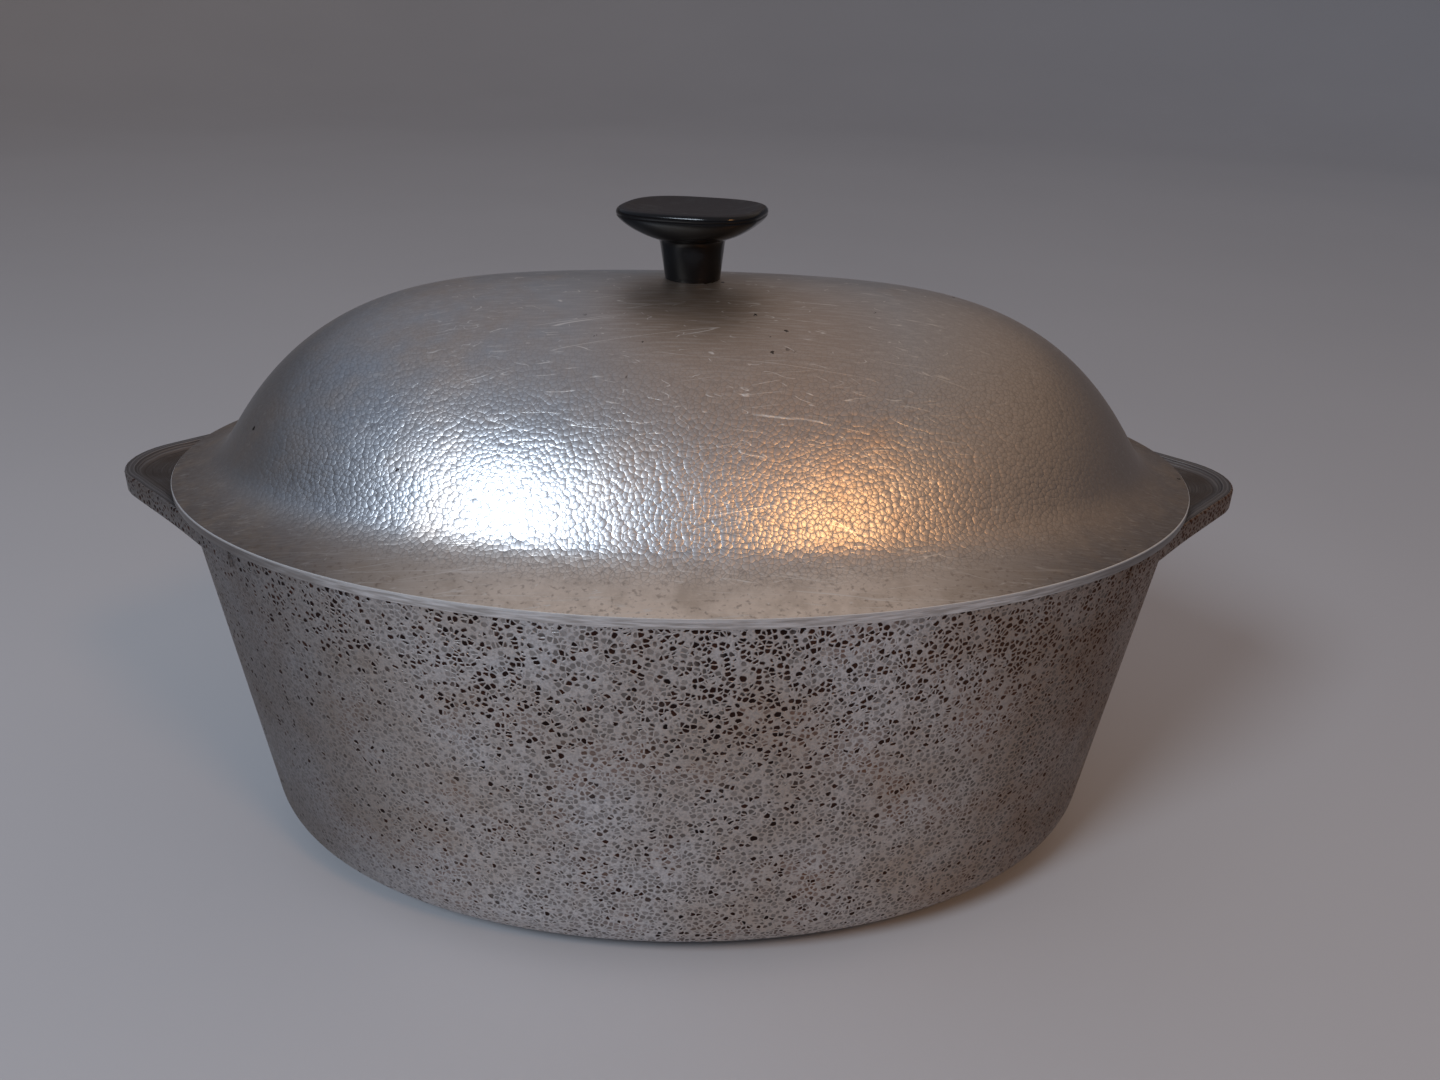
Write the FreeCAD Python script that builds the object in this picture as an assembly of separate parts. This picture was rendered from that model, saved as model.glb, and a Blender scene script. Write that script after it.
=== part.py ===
import FreeCAD, Part
import math
import os

# Oval cast-aluminium covered roaster: a tapered pot with two end lugs, a domed lid with a black knob
# held by a screw from below, and a loose perforated trivet. Millimetres, +Z up, +X along the oval.
# The origin is the middle of the pot's flat base.

os.makedirs("parts", exist_ok=True)

# ---- pot
RIM_Z = 146.5                   # top of the machined rim, where the lid sits
POT_HALF_LENGTH = 179.0         # outside of the wall at the rim, along X
POT_HALF_WIDTH = 120.3          # outside of the wall at the rim, along Y
POT_DRAFT = math.radians(7.0)
POT_WALL = 4.6
POT_FLOOR = 5.0
POT_CORNER_RADIUS = 26.0        # outside, between wall and base

# ---- end lugs
LUG_TIP_X = 205.0
LUG_NOSE_RADIUS = 24.0
LUG_FLANK_ANGLE = math.radians(45.0)
LUG_FLANK_LENGTH = 25.0
LUG_ROOT_ANGLE = math.radians(36.0)    # where the lug's edge runs out into the wall, round the oval
LUG_TOP_Z = RIM_Z - 0.8
LUG_THICKNESS = 7.6
LUG_BORDER = 2.8                # flat strip round the dished top
LUG_DISH_DEPTH = 2.2
LUG_DISH_SLOPE = 5.0            # width over which the dish falls to its depth
LUG_INNER_X = 150.0             # the lug is built from here outwards and merges with the wall

# ---- lid
LID_HALF_LENGTH = 183.3
LID_HALF_WIDTH = 121.4
LID_EDGE_HEIGHT = 3.4           # upright edge band
LID_WALL = 4.2
DOME_TOP_Z = 217.6
DOME_PAD_Z = 217.3              # flat ground for the knob
DOME_PAD_RADIUS = 10.4
DOME_ROOT_Z = 47.0              # the dome is the top of a taller oval form that would start here
DOME_ROOT_HALF_LENGTH = 190.1
DOME_ROOT_HALF_WIDTH = 128.0
DOME_LENGTH_POWER = 3.84        # over 2 keeps the crown long and flat
DOME_WIDTH_POWER = 2.0
FLANGE_RISE = 3.0               # height in which the flange's cove closes to about a third
RIB_DEPTH = 4.0                 # locating rib that drops inside the pot's mouth
RIB_THICKNESS = 2.6
RIB_CLEARANCE = 1.8

# ---- knob and its fixing
KNOB_TOP_Z = 242.3
KNOB_HALF_LENGTH = 25.2
KNOB_HALF_WIDTH = 19.0
KNOB_TURN = -20.0               # degrees, the head's long side against the pot's
KNOB_STEM_BASE_RADIUS = 9.5
KNOB_STEM_TOP_RADIUS = 11.6
KNOB_STEM_HEIGHT = 14.5
KNOB_HEAD_POWER = 2.9           # squareness of the head's outline
KNOB_DISH_DEPTH = 2.4
INSERT_RADIUS = 4.6
INSERT_LENGTH = 11.0
SCREW_RADIUS = 2.4
SCREW_HEAD_RADIUS = 4.6
SCREW_HEAD_HEIGHT = 2.8
SCREW_SLOT_WIDTH = 1.2
SCREW_SLOT_DEPTH = 1.3
SCREW_HOLE_RADIUS = 2.8         # clearance hole in the lid
SCREW_REACH = 9.0               # above the knob's seat
WASHER_RADIUS = 7.0
WASHER_THICKNESS = 1.0
LOCK_WASHER_RADIUS = 4.3
LOCK_WASHER_THICKNESS = 1.2
LOCK_WASHER_GAP = 1.0

# ---- trivet
TRIVET_HALF_LENGTH = 148.0
TRIVET_HALF_WIDTH = 89.0
TRIVET_THICKNESS = 2.0
TRIVET_TOP_Z = 17.0
TRIVET_SKIRT_HEIGHT = 5.0       # turned-down edge
TRIVET_HOLE_RADIUS = 5.5
TRIVET_PITCH = 24.0
TRIVET_EDGE_MARGIN = 16.0       # from a hole's centre to the edge
TRIVET_FOOT_X = 96.0
TRIVET_FOOT_Y = 48.0
TRIVET_FOOT_RADIUS = 7.0
FINGER_HOLE_X = 122.0
FINGER_HOLE_RADIUS = 11.0

UP = FreeCAD.Vector(0, 0, 1)


def at(x, y, z):
    return FreeCAD.Vector(x, y, z)


def oval(half_length, half_width, z):
    """An elliptical wire at height z, long side along X."""
    return Part.Wire(Part.Ellipse(at(0, 0, z), half_length, half_width).toShape())


def oval_block(half_length, half_width, z_low, z_high):
    """An upright elliptical block."""
    face = Part.Face(oval(half_length, half_width, z_low))
    return face.extrude(at(0, 0, z_high - z_low))


def disc(radius, z_low, z_high, x=0.0, y=0.0):
    """An upright round block."""
    return Part.makeCylinder(radius, z_high - z_low, at(x, y, z_low), UP)


def edges_at(shape, z, longer_than=0.0):
    """The level edges of a shape at height z."""
    level = []
    for edge in shape.Edges:
        box = edge.BoundBox
        if abs(box.ZMin - z) < 1e-3 and abs(box.ZMax - z) < 1e-3 and edge.Length > longer_than:
            level.append(edge)
    return level


def save(shape, name):
    """Writes one node, which must be sound."""
    clean = shape.removeSplitter()
    if not clean.isValid():
        clean = shape
    print(name, "valid", clean.isValid(), "solids", len(clean.Solids), "volume", round(clean.Volume))
    clean.exportStep("parts/" + name + ".step")


# ---- the cast pot: wall and floor of even thickness, rounded corner, flat base

def tapered_oval(inset, z_low, z_high, corner_radius):
    """The pot's form moved in by inset, with a rounded lower corner."""
    sections = []
    for z in (z_low, z_high):
        drop = (RIM_Z - z) * math.tan(POT_DRAFT) + inset
        sections.append(oval(POT_HALF_LENGTH - drop, POT_HALF_WIDTH - drop, z))
    form = Part.makeLoft(sections, True, True)
    return form.makeFillet(corner_radius, edges_at(form, z_low))


def lug_outline(inset, z):
    """The right lug's edge in plan, moved in by inset: nose arc, straight flanks, and a sweep that
    runs out along the wall. It is closed by a chord inside the pot."""
    radius = LUG_NOSE_RADIUS - inset
    centre_x = LUG_TIP_X - LUG_NOSE_RADIUS
    nose_x = centre_x + radius * math.cos(LUG_FLANK_ANGLE)
    nose_y = radius * math.sin(LUG_FLANK_ANGLE)
    flank_x = nose_x - LUG_FLANK_LENGTH * math.sin(LUG_FLANK_ANGLE)
    flank_y = nose_y + LUG_FLANK_LENGTH * math.cos(LUG_FLANK_ANGLE)
    root_x = (POT_HALF_LENGTH - inset) * math.cos(LUG_ROOT_ANGLE)
    root_y = (POT_HALF_WIDTH - inset) * math.sin(LUG_ROOT_ANGLE)
    # direction along the oval at the root, towards the nose
    run_x = POT_HALF_LENGTH * math.sin(LUG_ROOT_ANGLE)
    run_y = -POT_HALF_WIDTH * math.cos(LUG_ROOT_ANGLE)
    reach = 0.4 * math.hypot(root_x - flank_x, root_y - flank_y) / math.hypot(run_x, run_y)
    along = 0.4 * math.hypot(root_x - flank_x, root_y - flank_y)
    chord_x = LUG_INNER_X - 12.0
    edges = []
    nose = Part.Arc(at(nose_x, -nose_y, z), at(centre_x + radius, 0, z), at(nose_x, nose_y, z))
    edges.append(nose.toShape())
    for side in (1, -1):
        edges.append(Part.LineSegment(at(nose_x, side * nose_y, z), at(flank_x, side * flank_y, z)).toShape())
        sweep = Part.BezierCurve()
        sweep.setPoles([
            at(flank_x, side * flank_y, z),
            at(flank_x - along * math.sin(LUG_FLANK_ANGLE),
               side * (flank_y + along * math.cos(LUG_FLANK_ANGLE)), z),
            at(root_x + reach * run_x, side * (root_y + reach * run_y), z),
            at(root_x, side * root_y, z),
        ])
        edges.append(sweep.toShape())
        inner = Part.LineSegment(at(root_x, side * root_y, z), at(chord_x, side * root_y, z))
        edges.append(inner.toShape())
    edges.append(Part.LineSegment(at(chord_x, root_y, z), at(chord_x, -root_y, z)).toShape())
    return Part.Wire(Part.__sortEdges__(edges))


def lug():
    """The right lug as a flat tongue with a dished top."""
    bottom_z = LUG_TOP_Z - LUG_THICKNESS
    tongue = Part.Face(lug_outline(0.0, bottom_z)).extrude(at(0, 0, LUG_THICKNESS))
    over = 0.5
    dish = Part.makeLoft([
        lug_outline(LUG_BORDER - over, LUG_TOP_Z + over),
        lug_outline(LUG_BORDER + LUG_DISH_SLOPE, LUG_TOP_Z - LUG_DISH_DEPTH),
    ], True, True)
    # the dish stops short of the rim, so that the lid's seat stays whole
    dish = dish.cut(oval_block(POT_HALF_LENGTH + 0.6, POT_HALF_WIDTH + 0.6, bottom_z, RIM_Z + over))
    return tongue.cut(dish)


def pot_body():
    outside = tapered_oval(0.0, 0.0, RIM_Z, POT_CORNER_RADIUS)
    right = lug()
    left = right.mirror(at(0, 0, 0), at(1, 0, 0))
    body = outside.fuse([right, left])
    inside = tapered_oval(POT_WALL, POT_FLOOR, RIM_Z + 1.0, POT_CORNER_RADIUS - POT_WALL)
    return body.cut(inside)


# ---- the domed lid: edge band, coved flange, dome, and a locating rib below

def dome_section(z, inset):
    """Half axes of the dome at height z, for the outside (inset 0) or the inside."""
    share = (z - DOME_ROOT_Z) / (DOME_TOP_Z - inset - DOME_ROOT_Z)
    left = max(0.0, 1.0 - share * share)
    half_length = (DOME_ROOT_HALF_LENGTH - inset) * left ** (1.0 / DOME_LENGTH_POWER)
    half_width = (DOME_ROOT_HALF_WIDTH - inset) * left ** (1.0 / DOME_WIDTH_POWER)
    return half_length, half_width


def lid_outside():
    """Edge band, flange and dome as one solid form."""
    edge_top = RIM_Z + LID_EDGE_HEIGHT
    band = oval_block(LID_HALF_LENGTH, LID_HALF_WIDTH, RIM_Z, edge_top)
    foot_length, foot_width = dome_section(edge_top, 0.0)
    sections = []
    height = DOME_PAD_Z - edge_top
    for step in (0.0, 0.012, 0.03, 0.055, 0.09, 0.14, 0.21, 0.3, 0.42, 0.55, 0.68, 0.79, 0.88, 0.94,
                 0.98, 1.0):
        z = edge_top + height * step
        half_length, half_width = dome_section(z, 0.0)
        cove = math.exp(-(z - edge_top) / FLANGE_RISE)
        half_length += (LID_HALF_LENGTH - foot_length) * cove
        half_width += (LID_HALF_WIDTH - foot_width) * cove
        sections.append(oval(half_length, half_width, z))
    dome = Part.makeLoft(sections, True, False)
    pad = disc(DOME_PAD_RADIUS, DOME_PAD_Z - 6.0, DOME_PAD_Z)
    return band.fuse([dome, pad])


def lid_inside():
    """The hollow under the dome."""
    top_z = DOME_PAD_Z - LID_WALL
    low_z = RIM_Z - RIB_DEPTH - 1.0
    sections = []
    for step in (0.0, 0.15, 0.3, 0.45, 0.6, 0.72, 0.83, 0.91, 0.96, 1.0):
        z = low_z + (top_z - low_z) * step
        half_length, half_width = dome_section(z, LID_WALL)
        sections.append(oval(half_length, half_width, z))
    return Part.makeLoft(sections, True, False)


def lid_shell():
    mouth_drop = POT_WALL + RIB_CLEARANCE
    rib = oval_block(POT_HALF_LENGTH - mouth_drop, POT_HALF_WIDTH - mouth_drop, RIM_Z - RIB_DEPTH, RIM_Z + 1.0)
    behind = mouth_drop + RIB_THICKNESS
    groove = oval_block(POT_HALF_LENGTH - behind, POT_HALF_WIDTH - behind, RIM_Z - RIB_DEPTH - 1.0, RIM_Z)
    body = lid_outside().fuse(rib)
    body = body.cut(groove)
    boss_low = DOME_PAD_Z - LID_WALL
    body = body.cut(lid_inside())
    washer_seat = disc(WASHER_RADIUS + 1.5, boss_low, DOME_PAD_Z - 0.5)
    body = body.fuse(washer_seat)
    return body.cut(disc(SCREW_HOLE_RADIUS, boss_low - 5.0, DOME_PAD_Z + 5.0))


# ---- the moulded knob: oblong dished head on a round tapered stem

def head_outline(half_length, half_width, power, z):
    """A closed superellipse, turned with the knob's head."""
    turn = math.radians(KNOB_TURN)
    count = 48
    points = []
    for i in range(count):
        angle = 2.0 * math.pi * i / count
        c, s = math.cos(angle), math.sin(angle)
        x = half_length * math.copysign(abs(c) ** (2.0 / power), c)
        y = half_width * math.copysign(abs(s) ** (2.0 / power), s)
        points.append(at(x * math.cos(turn) - y * math.sin(turn), x * math.sin(turn) + y * math.cos(turn), z))
    curve = Part.BSplineCurve()
    curve.interpolate(Points=points, PeriodicFlag=True)
    return Part.Wire(curve.toShape())


def lid_knob():
    neck_z = DOME_PAD_Z + KNOB_STEM_HEIGHT
    stem = Part.makeCone(KNOB_STEM_BASE_RADIUS, KNOB_STEM_TOP_RADIUS, KNOB_STEM_HEIGHT, at(0, 0, DOME_PAD_Z), UP)
    head = Part.makeLoft([
        head_outline(KNOB_STEM_TOP_RADIUS, KNOB_STEM_TOP_RADIUS, 2.0, neck_z - 0.4),
        head_outline(14.2, 13.2, 2.1, neck_z + 0.9),
        head_outline(17.6, 14.9, 2.3, neck_z + 1.9),
        head_outline(20.9, 16.4, 2.5, neck_z + 3.3),
        head_outline(23.3, 17.7, 2.7, neck_z + 5.0),
        head_outline(KNOB_HALF_LENGTH - 0.6, KNOB_HALF_WIDTH - 0.5, KNOB_HEAD_POWER, neck_z + 6.6),
        head_outline(KNOB_HALF_LENGTH, KNOB_HALF_WIDTH, KNOB_HEAD_POWER, neck_z + 8.2),
        head_outline(KNOB_HALF_LENGTH - 0.5, KNOB_HALF_WIDTH - 0.5, KNOB_HEAD_POWER, neck_z + 9.6),
        head_outline(KNOB_HALF_LENGTH - 2.0, KNOB_HALF_WIDTH - 2.0, KNOB_HEAD_POWER, KNOB_TOP_Z),
    ], True, False)
    dish = Part.makeLoft([
        head_outline(KNOB_HALF_LENGTH - 2.6, KNOB_HALF_WIDTH - 2.6, KNOB_HEAD_POWER, KNOB_TOP_Z + 0.3),
        head_outline(KNOB_HALF_LENGTH - 6.0, KNOB_HALF_WIDTH - 6.0, 2.6,
                     KNOB_TOP_Z - KNOB_DISH_DEPTH * 0.6),
        head_outline(KNOB_HALF_LENGTH - 14.0, KNOB_HALF_WIDTH - 12.0, 2.2, KNOB_TOP_Z - KNOB_DISH_DEPTH),
    ], True, True)
    body = stem.fuse(head).cut(dish)
    return body.cut(disc(INSERT_RADIUS, DOME_PAD_Z - 1.0, DOME_PAD_Z + INSERT_LENGTH))


def knob_insert():
    """A brass bush moulded into the stem, with two grip grooves and the screw's thread bore."""
    body = disc(INSERT_RADIUS, DOME_PAD_Z, DOME_PAD_Z + INSERT_LENGTH)
    return body.cut(disc(SCREW_RADIUS, DOME_PAD_Z - 1.0, DOME_PAD_Z + SCREW_REACH + 0.8))


# ---- the fixing below the lid: flat washer, spring washer, slotted round-head screw

WASHER_TOP_Z = DOME_PAD_Z - LID_WALL
LOCK_TOP_Z = WASHER_TOP_Z - WASHER_THICKNESS
HEAD_TOP_Z = LOCK_TOP_Z - LOCK_WASHER_THICKNESS


def knob_washer():
    ring = disc(WASHER_RADIUS, LOCK_TOP_Z, WASHER_TOP_Z)
    return ring.cut(disc(SCREW_HOLE_RADIUS, LOCK_TOP_Z - 1.0, WASHER_TOP_Z + 1.0))


def knob_lock_washer():
    ring = disc(LOCK_WASHER_RADIUS, HEAD_TOP_Z, LOCK_TOP_Z)
    ring = ring.cut(disc(SCREW_HOLE_RADIUS, HEAD_TOP_Z - 1.0, LOCK_TOP_Z + 1.0))
    split = Part.makeBox(LOCK_WASHER_RADIUS + 1.0, LOCK_WASHER_GAP, LOCK_WASHER_THICKNESS + 2.0,
                         at(0, -LOCK_WASHER_GAP / 2.0, HEAD_TOP_Z - 1.0))
    return ring.cut(split)


def knob_screw():
    shank = disc(SCREW_RADIUS, HEAD_TOP_Z, DOME_PAD_Z + SCREW_REACH)
    head_low = HEAD_TOP_Z - SCREW_HEAD_HEIGHT
    head = disc(SCREW_HEAD_RADIUS, head_low, HEAD_TOP_Z)
    head = head.makeFillet(SCREW_HEAD_HEIGHT * 0.7, edges_at(head, head_low))
    slot = Part.makeBox(2.0 * SCREW_HEAD_RADIUS + 2.0, SCREW_SLOT_WIDTH, SCREW_SLOT_DEPTH + 1.0,
                        at(-SCREW_HEAD_RADIUS - 1.0, -SCREW_SLOT_WIDTH / 2.0, head_low - 1.0))
    return shank.fuse(head).cut(slot)


# ---- the loose trivet: a pressed plate with a turned-down edge, drain holes and four cupped feet

def trivet_foot(x, y):
    """A pressed foot: a tapered cup that reaches the pot's floor."""
    height = TRIVET_TOP_Z - POT_FLOOR
    cup = Part.makeCone(TRIVET_FOOT_RADIUS * 0.7, TRIVET_FOOT_RADIUS, height, at(x, y, POT_FLOOR), UP)
    hollow = Part.makeCone(TRIVET_FOOT_RADIUS * 0.7 - TRIVET_THICKNESS, TRIVET_FOOT_RADIUS - TRIVET_THICKNESS,
                           height, at(x, y, POT_FLOOR + TRIVET_THICKNESS), UP)
    return cup, hollow


def trivet():
    plate_low = TRIVET_TOP_Z - TRIVET_THICKNESS
    skirt_low = TRIVET_TOP_Z - TRIVET_SKIRT_HEIGHT
    body = oval_block(TRIVET_HALF_LENGTH, TRIVET_HALF_WIDTH, skirt_low, TRIVET_TOP_Z)
    body = body.makeFillet(TRIVET_THICKNESS, edges_at(body, TRIVET_TOP_Z))
    under = oval_block(TRIVET_HALF_LENGTH - TRIVET_THICKNESS, TRIVET_HALF_WIDTH - TRIVET_THICKNESS,
                       skirt_low - 1.0, plate_low)
    body = body.cut(under)
    feet = []
    tools = []
    for x in (-TRIVET_FOOT_X, TRIVET_FOOT_X):
        for y in (-TRIVET_FOOT_Y, TRIVET_FOOT_Y):
            cup, hollow = trivet_foot(x, y)
            feet.append(cup)
            tools.append(hollow)
    for x in (-FINGER_HOLE_X, FINGER_HOLE_X):
        tools.append(disc(FINGER_HOLE_RADIUS, plate_low - 1.0, TRIVET_TOP_Z + 1.0, x, 0.0))
    reach_x = TRIVET_HALF_LENGTH - TRIVET_EDGE_MARGIN
    reach_y = TRIVET_HALF_WIDTH - TRIVET_EDGE_MARGIN
    row_pitch = TRIVET_PITCH * math.sin(math.radians(60.0))
    for row in range(-4, 5):
        y = row * row_pitch
        offset = 0.5 * TRIVET_PITCH if row % 2 else 0.0
        for column in range(-7, 8):
            x = column * TRIVET_PITCH + offset
            in_plate = (x / reach_x) ** 2 + (y / reach_y) ** 2 < 1.0
            gap_to_foot = math.hypot(abs(x) - TRIVET_FOOT_X, abs(y) - TRIVET_FOOT_Y)
            gap_to_finger_hole = math.hypot(abs(x) - FINGER_HOLE_X, y)
            clear = gap_to_foot > TRIVET_FOOT_RADIUS + TRIVET_HOLE_RADIUS + 2.0
            clear = clear and gap_to_finger_hole > FINGER_HOLE_RADIUS + TRIVET_HOLE_RADIUS + 2.5
            if in_plate and clear:
                tools.append(disc(TRIVET_HOLE_RADIUS, plate_low - 1.0, TRIVET_TOP_Z + 1.0, x, y))
    return body.fuse(feet).cut(tools)


for build in (pot_body, lid_shell, lid_knob, knob_insert, knob_screw, knob_washer, knob_lock_washer, trivet):
    save(build(), build.__name__)
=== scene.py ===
import math

import bmesh
import bpy
from mathutils import Matrix, Vector


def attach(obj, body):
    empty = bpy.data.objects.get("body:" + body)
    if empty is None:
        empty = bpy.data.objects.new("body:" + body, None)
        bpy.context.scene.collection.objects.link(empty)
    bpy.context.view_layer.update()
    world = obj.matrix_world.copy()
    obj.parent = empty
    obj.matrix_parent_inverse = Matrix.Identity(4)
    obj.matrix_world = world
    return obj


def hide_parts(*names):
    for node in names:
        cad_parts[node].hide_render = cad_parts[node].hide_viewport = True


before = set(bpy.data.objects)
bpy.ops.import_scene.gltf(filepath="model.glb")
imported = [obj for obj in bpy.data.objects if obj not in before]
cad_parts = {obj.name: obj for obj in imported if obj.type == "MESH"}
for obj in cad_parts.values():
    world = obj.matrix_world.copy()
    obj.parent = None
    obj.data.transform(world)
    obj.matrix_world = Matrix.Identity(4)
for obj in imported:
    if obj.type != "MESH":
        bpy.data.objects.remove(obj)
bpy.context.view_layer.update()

MM = 0.001


# ---------------------------------------------------------------- pot
# One sand casting in aluminium: an oval tapered pot with a rounded lower corner and a lug at each end. The
# outside keeps the pebbled skin of the mould. The rim is turned flat for the lid, and the inside is smooth.

RIM_Z = 146.5                  # heights are above the pot's base, and sizes are in millimetres
POT_HALF_LENGTH = 179.0
POT_HALF_WIDTH = 120.3
DRAFT_ANGLE = math.radians(7.0)
DRAFT = math.tan(DRAFT_ANGLE)
WALL = 4.6
FLOOR_Z = 5.0
CORNER = 26.0
COLUMNS = 280                  # faces round the oval; 28 of them reach from a lug's nose to its root
LUG_COLUMNS = 28
LUG_TOP = 145.7
LUG_BOTTOM = 138.1


def first_section(mesh, size):
    """The first oval edge loop of a casting. A size is half length, half width and height."""
    made = bmesh.ops.create_circle(mesh, cap_ends=False, segments=COLUMNS, radius=1.0)
    bmesh.ops.scale(mesh, vec=(size[0], size[1], 1.0), verts=made["verts"])
    bmesh.ops.translate(mesh, vec=(0.0, 0.0, size[2]), verts=made["verts"])
    return list(mesh.edges), size


def next_section(mesh, ring, size, finish=0):
    """Carries the wall on from one oval edge loop to the next."""
    edges, old = ring
    made = bmesh.ops.extrude_edge_only(mesh, edges=edges)["geom"]
    verts = {part for part in made if isinstance(part, bmesh.types.BMVert)}
    edges = [part for part in made if isinstance(part, bmesh.types.BMEdge)]
    edges = [edge for edge in edges if edge.verts[0] in verts and edge.verts[1] in verts]
    for face in {face for vert in verts for face in vert.link_faces}:
        face.material_index = finish
    bmesh.ops.scale(mesh, vec=(size[0] / old[0], size[1] / old[1], 1.0), verts=list(verts))
    bmesh.ops.translate(mesh, vec=(0.0, 0.0, size[2] - old[2]), verts=list(verts))
    return edges, size


def close_section(mesh, ring, finish=0):
    """Closes the last edge loop to its middle."""
    size = ring[1]
    edges, size = next_section(mesh, ring, (size[0] * 0.5, size[1] * 0.5, size[2]), finish)
    middle = {vert for edge in edges for vert in edge.verts}
    bmesh.ops.pointmerge(mesh, verts=list(middle), merge_co=(0.0, 0.0, size[2]))


def finish_piece(mesh, name, materials, sharp=35.0):
    """Turns millimetres to metres, points the faces outwards and makes the object."""
    bmesh.ops.remove_doubles(mesh, verts=list(mesh.verts), dist=0.002)
    bmesh.ops.dissolve_degenerate(mesh, edges=list(mesh.edges), dist=0.001)
    bmesh.ops.recalc_face_normals(mesh, faces=list(mesh.faces))
    bmesh.ops.scale(mesh, vec=(MM, MM, MM), verts=list(mesh.verts))
    data = bpy.data.meshes.new(name)
    mesh.to_mesh(data)
    mesh.free()
    for material in materials:
        data.materials.append(material)
    data.shade_smooth()
    data.set_sharp_from_angle(angle=math.radians(sharp))
    piece = bpy.data.objects.new(name, data)
    bpy.context.scene.collection.objects.link(piece)
    return piece


def pot_section(inward, z):
    """A section of the pot's outside at height z, moved in."""
    drop = (RIM_Z - z) * DRAFT + inward
    return POT_HALF_LENGTH - drop, POT_HALF_WIDTH - drop, z


def corner_sections(inward, floor_z, radius, steps):
    """The rounded corner between floor and wall, from the floor up."""
    edge = (1.0 - math.sin(DRAFT_ANGLE)) / math.cos(DRAFT_ANGLE) * radius
    length, width, z = pot_section(inward, floor_z)
    sections = []
    for step in range(steps + 1):
        angle = (math.radians(90.0) - DRAFT_ANGLE) * step / steps - math.radians(90.0)
        out = radius * math.cos(angle) - edge
        sections.append((length + out, width + out, floor_z + radius + radius * math.sin(angle)))
    return sections


INSIDE, TURNED, GROUND = 1, 2, 3         # the pot's finishes; the pebbled outside is 0
pot_mesh = bmesh.new()
share_of = pot_mesh.verts.layers.float.new("share")
reach_of = pot_mesh.verts.layers.float.new("reach")
lift_of = pot_mesh.verts.layers.float.new("lift")
edge_of = pot_mesh.verts.layers.float.new("from_edge")

outer_corner = corner_sections(0.0, 0.0, CORNER, 14)
inner_corner = corner_sections(WALL, FLOOR_Z, CORNER - WALL, 12)
base = outer_corner[0]
ring = first_section(pot_mesh, (base[0] * 0.3, base[1] * 0.3, 0.0))
close_section(pot_mesh, ring)
for part in (0.55, 0.78, 0.93):
    ring = next_section(pot_mesh, ring, (base[0] * part, base[1] * part, 0.0))
for size in outer_corner:
    ring = next_section(pot_mesh, ring, size)
for z in [28.0 + 5.0 * step for step in range(22)]:
    ring = next_section(pot_mesh, ring, pot_section(0.0, z))
for z in (LUG_BOTTOM, LUG_TOP, RIM_Z - 0.5):
    ring = next_section(pot_mesh, ring, pot_section(0.0, z))
ring = next_section(pot_mesh, ring, pot_section(0.15, RIM_Z - 0.15))
ring = next_section(pot_mesh, ring, pot_section(0.5, RIM_Z))
ring = next_section(pot_mesh, ring, pot_section(WALL - 0.7, RIM_Z), TURNED)
ring = next_section(pot_mesh, ring, pot_section(WALL - 0.2, RIM_Z - 0.2), TURNED)
for z in [RIM_Z - 0.7] + [140.0 - 8.0 * step for step in range(14)]:
    ring = next_section(pot_mesh, ring, pot_section(WALL, z), INSIDE)
for size in reversed(inner_corner):
    ring = next_section(pot_mesh, ring, size, INSIDE)
ground = inner_corner[0]
for part in (0.93, 0.78, 0.55, 0.3):
    ring = next_section(pot_mesh, ring, (ground[0] * part, ground[1] * part, FLOOR_Z), INSIDE)
close_section(pot_mesh, ring, INSIDE)

# Each lug is drawn out of the wall below the rim. It has a round nose, straight flanks, and a sweep that
# dies away along the wall, with a flat border and a shallow ground dish on top.
LUG_TIP = 204.95
NOSE_RADIUS = 24.0
FLANK_ANGLE = math.radians(45.0)
FLANK = 25.0
ROOT_ANGLE = math.radians(36.0)
DISH_DEPTH = 2.2
DISH_NEAR = 1.6                # the dish's floor starts this far from the wall
DISH_FAR = 7.8                 # and ends this far from the lug's edge
DISH_ROOM = 11.0               # the dish is shallower where the lug reaches out less than this
LUG_FILLET = 2.6               # under the lug, against the wall
EDGE_ROUND = 0.8
CUTS = 8                       # across the lug's top
EDGE_CUTS = 4                  # down its edge


def mix(a, b, part):
    """A value part of the way from a to b."""
    return a + (b - a) * part


def ease_linear(value, low, high):
    """How far a value has come from low to high, from 0 to 1."""
    return min(1.0, max(0.0, (value - low) / (high - low)))


def ease(value, low, high):
    """The same with a soft start and a soft end."""
    part = ease_linear(value, low, high)
    return part * part * (3.0 - 2.0 * part)


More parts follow.
